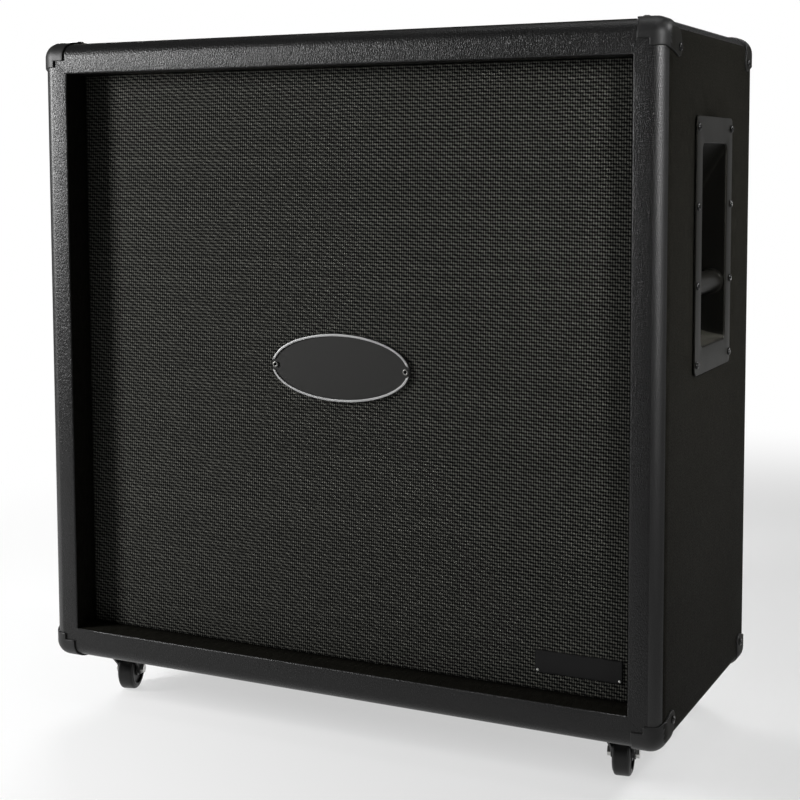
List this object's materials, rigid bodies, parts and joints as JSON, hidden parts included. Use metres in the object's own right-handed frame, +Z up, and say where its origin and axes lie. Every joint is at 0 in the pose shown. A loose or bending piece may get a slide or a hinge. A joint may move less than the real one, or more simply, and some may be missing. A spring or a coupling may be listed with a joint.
{
  "type": "guitar speaker cabinet",
  "caption": "Large square guitar speaker cabinet in black vinyl with a sunk cloth grille, oval badge, corner caps, recessed side handles, rear input jacks and swivel casters.",
  "frame": {"origin": "on the floor under the middle of the cabinet", "axes": "+Z up, -Y out of the grille, +X to the right of someone facing the grille"},
  "size_m": [0.7732, 0.354, 0.8016],
  "materials": {
    "plywood": "birch plywood",
    "softwood": "sawn softwood",
    "vinyl": "fine grained black vinyl",
    "grille_cloth": "black basket weave with grey flecks",
    "badge_metal": "dark satin field, light rim",
    "name_plate_metal": "satin black",
    "cap_plastic": "moulded black",
    "handle_plastic": "moulded black, satin",
    "black_screws": "black oxide",
    "bright_screws": "plated",
    "zinc_steel": "bright zinc",
    "fork_steel": "black plated",
    "wheel_rubber": "hard black rubber",
    "basket_steel": "black paint",
    "motor_steel": "plated plates, ferrite ring",
    "cone_paper": "dark pressed paper",
    "suspension_cloth": "doped cloth",
    "gasket_cork": "cork board",
    "jack_plate_paint": "black powder coat",
    "jack_plastic": "black nylon",
    "wire_cover": "black sleeved pair"
  },
  "bodies": {
    "cabinet": {"back_battens": "softwood", "back_covering": "vinyl", "back_panel": "plywood", "back_panel_screws": "black_screws", "badge_fasteners": "bright_screws", "badge_plate": "badge_metal", "baffle_board": "plywood", "baffle_screws": "bright_screws", "bottom_panel": "plywood", "caster_sockets": "zinc_steel", "caster_stems": "zinc_steel", "centre_post": "softwood", "corner_caps": "cap_plastic", "corner_screws": "black_screws", "front_frame": "softwood", "grille_cloth": "grille_cloth", "grille_frame": "softwood", "handle_bars": "handle_plastic", "handle_screws": "black_screws", "input_jacks": "jack_plastic", "jack_plate": "jack_plate_paint", "jack_plate_screws": "black_screws", "left_handle_dish": "handle_plastic", "left_side_panel": "plywood", "name_plate": "name_plate_metal", "right_handle_dish": "handle_plastic", "right_side_panel": "plywood", "speaker_bottom_left_basket": "basket_steel", "speaker_bottom_left_motor": "motor_steel", "speaker_bottom_left_suspension": "suspension_cloth", "speaker_bottom_right_basket": "basket_steel", "speaker_bottom_right_motor": "motor_steel", "speaker_bottom_right_suspension": "suspension_cloth", "speaker_gaskets": "gasket_cork", "speaker_screws": "bright_screws", "speaker_top_left_basket": "basket_steel", "speaker_top_left_motor": "motor_steel", "speaker_top_left_suspension": "suspension_cloth", "speaker_top_right_basket": "basket_steel", "speaker_top_right_motor": "motor_steel", "speaker_top_right_suspension": "suspension_cloth", "speaker_wiring": "wire_cover", "top_panel": "plywood", "vinyl_covering": "vinyl"},
    "front_left_caster": {"caster_front_left_fork": "fork_steel", "caster_front_left_axle": "zinc_steel"},
    "front_left_wheel": {"caster_front_left_wheel": "wheel_rubber"},
    "front_right_caster": {"caster_front_right_fork": "fork_steel", "caster_front_right_axle": "zinc_steel"},
    "front_right_wheel": {"caster_front_right_wheel": "wheel_rubber"},
    "rear_left_caster": {"caster_rear_left_fork": "fork_steel", "caster_rear_left_axle": "zinc_steel"},
    "rear_left_wheel": {"caster_rear_left_wheel": "wheel_rubber"},
    "rear_right_caster": {"caster_rear_right_fork": "fork_steel", "caster_rear_right_axle": "zinc_steel"},
    "rear_right_wheel": {"caster_rear_right_wheel": "wheel_rubber"},
    "top_left_cone": {"speaker_top_left_cone": "cone_paper"},
    "top_right_cone": {"speaker_top_right_cone": "cone_paper"},
    "bottom_left_cone": {"speaker_bottom_left_cone": "cone_paper"},
    "bottom_right_cone": {"speaker_bottom_right_cone": "cone_paper"}
  },
  "joints": [
    {"name": "front_left_swivel", "type": "hinge", "parent": "cabinet", "child": "front_left_caster", "pos_m": [-0.32, -0.117, 0.053], "axis": [0, 0, 1], "continuous": true},
    {"name": "front_left_roll", "type": "hinge", "parent": "front_left_caster", "child": "front_left_wheel", "pos_m": [-0.32717, -0.09201, 0.025], "axis": [0.9613, 0.2756, 0], "continuous": true},
    {"name": "front_right_swivel", "type": "hinge", "parent": "cabinet", "child": "front_right_caster", "pos_m": [0.32, -0.117, 0.053], "axis": [0, 0, 1], "continuous": true},
    {"name": "front_right_roll", "type": "hinge", "parent": "front_right_caster", "child": "front_right_wheel", "pos_m": [0.31549, -0.0914, 0.025], "axis": [0.9848, 0.1736, 0], "continuous": true},
    {"name": "rear_left_swivel", "type": "hinge", "parent": "cabinet", "child": "rear_left_caster", "pos_m": [-0.32, 0.117, 0.053], "axis": [0, 0, 1], "continuous": true},
    {"name": "rear_left_roll", "type": "hinge", "parent": "rear_left_caster", "child": "rear_left_wheel", "pos_m": [-0.32673, 0.14211, 0.025], "axis": [0.9659, 0.2588, 0], "continuous": true},
    {"name": "rear_right_swivel", "type": "hinge", "parent": "cabinet", "child": "rear_right_caster", "pos_m": [0.32, 0.117, 0.053], "axis": [0, 0, 1], "continuous": true},
    {"name": "rear_right_roll", "type": "hinge", "parent": "rear_right_caster", "child": "rear_right_wheel", "pos_m": [0.31459, 0.14243, 0.025], "axis": [0.9781, 0.2079, 0], "continuous": true},
    {"name": "top_left_cone_travel", "type": "slide", "parent": "cabinet", "child": "top_left_cone", "axis": [0, -1, 0], "range_m": [-0.003, 0.003], "stiffness_N_per_m": 5000, "deforming": ["speaker_top_left_suspension"]},
    {"name": "top_right_cone_travel", "type": "slide", "parent": "cabinet", "child": "top_right_cone", "axis": [0, -1, 0], "range_m": [-0.003, 0.003], "stiffness_N_per_m": 5000, "deforming": ["speaker_top_right_suspension"]},
    {"name": "bottom_left_cone_travel", "type": "slide", "parent": "cabinet", "child": "bottom_left_cone", "axis": [0, -1, 0], "range_m": [-0.003, 0.003], "stiffness_N_per_m": 5000, "deforming": ["speaker_bottom_left_suspension"]},
    {"name": "bottom_right_cone_travel", "type": "slide", "parent": "cabinet", "child": "bottom_right_cone", "axis": [0, -1, 0], "range_m": [-0.003, 0.003], "stiffness_N_per_m": 5000, "deforming": ["speaker_bottom_right_suspension"]}
  ]
}
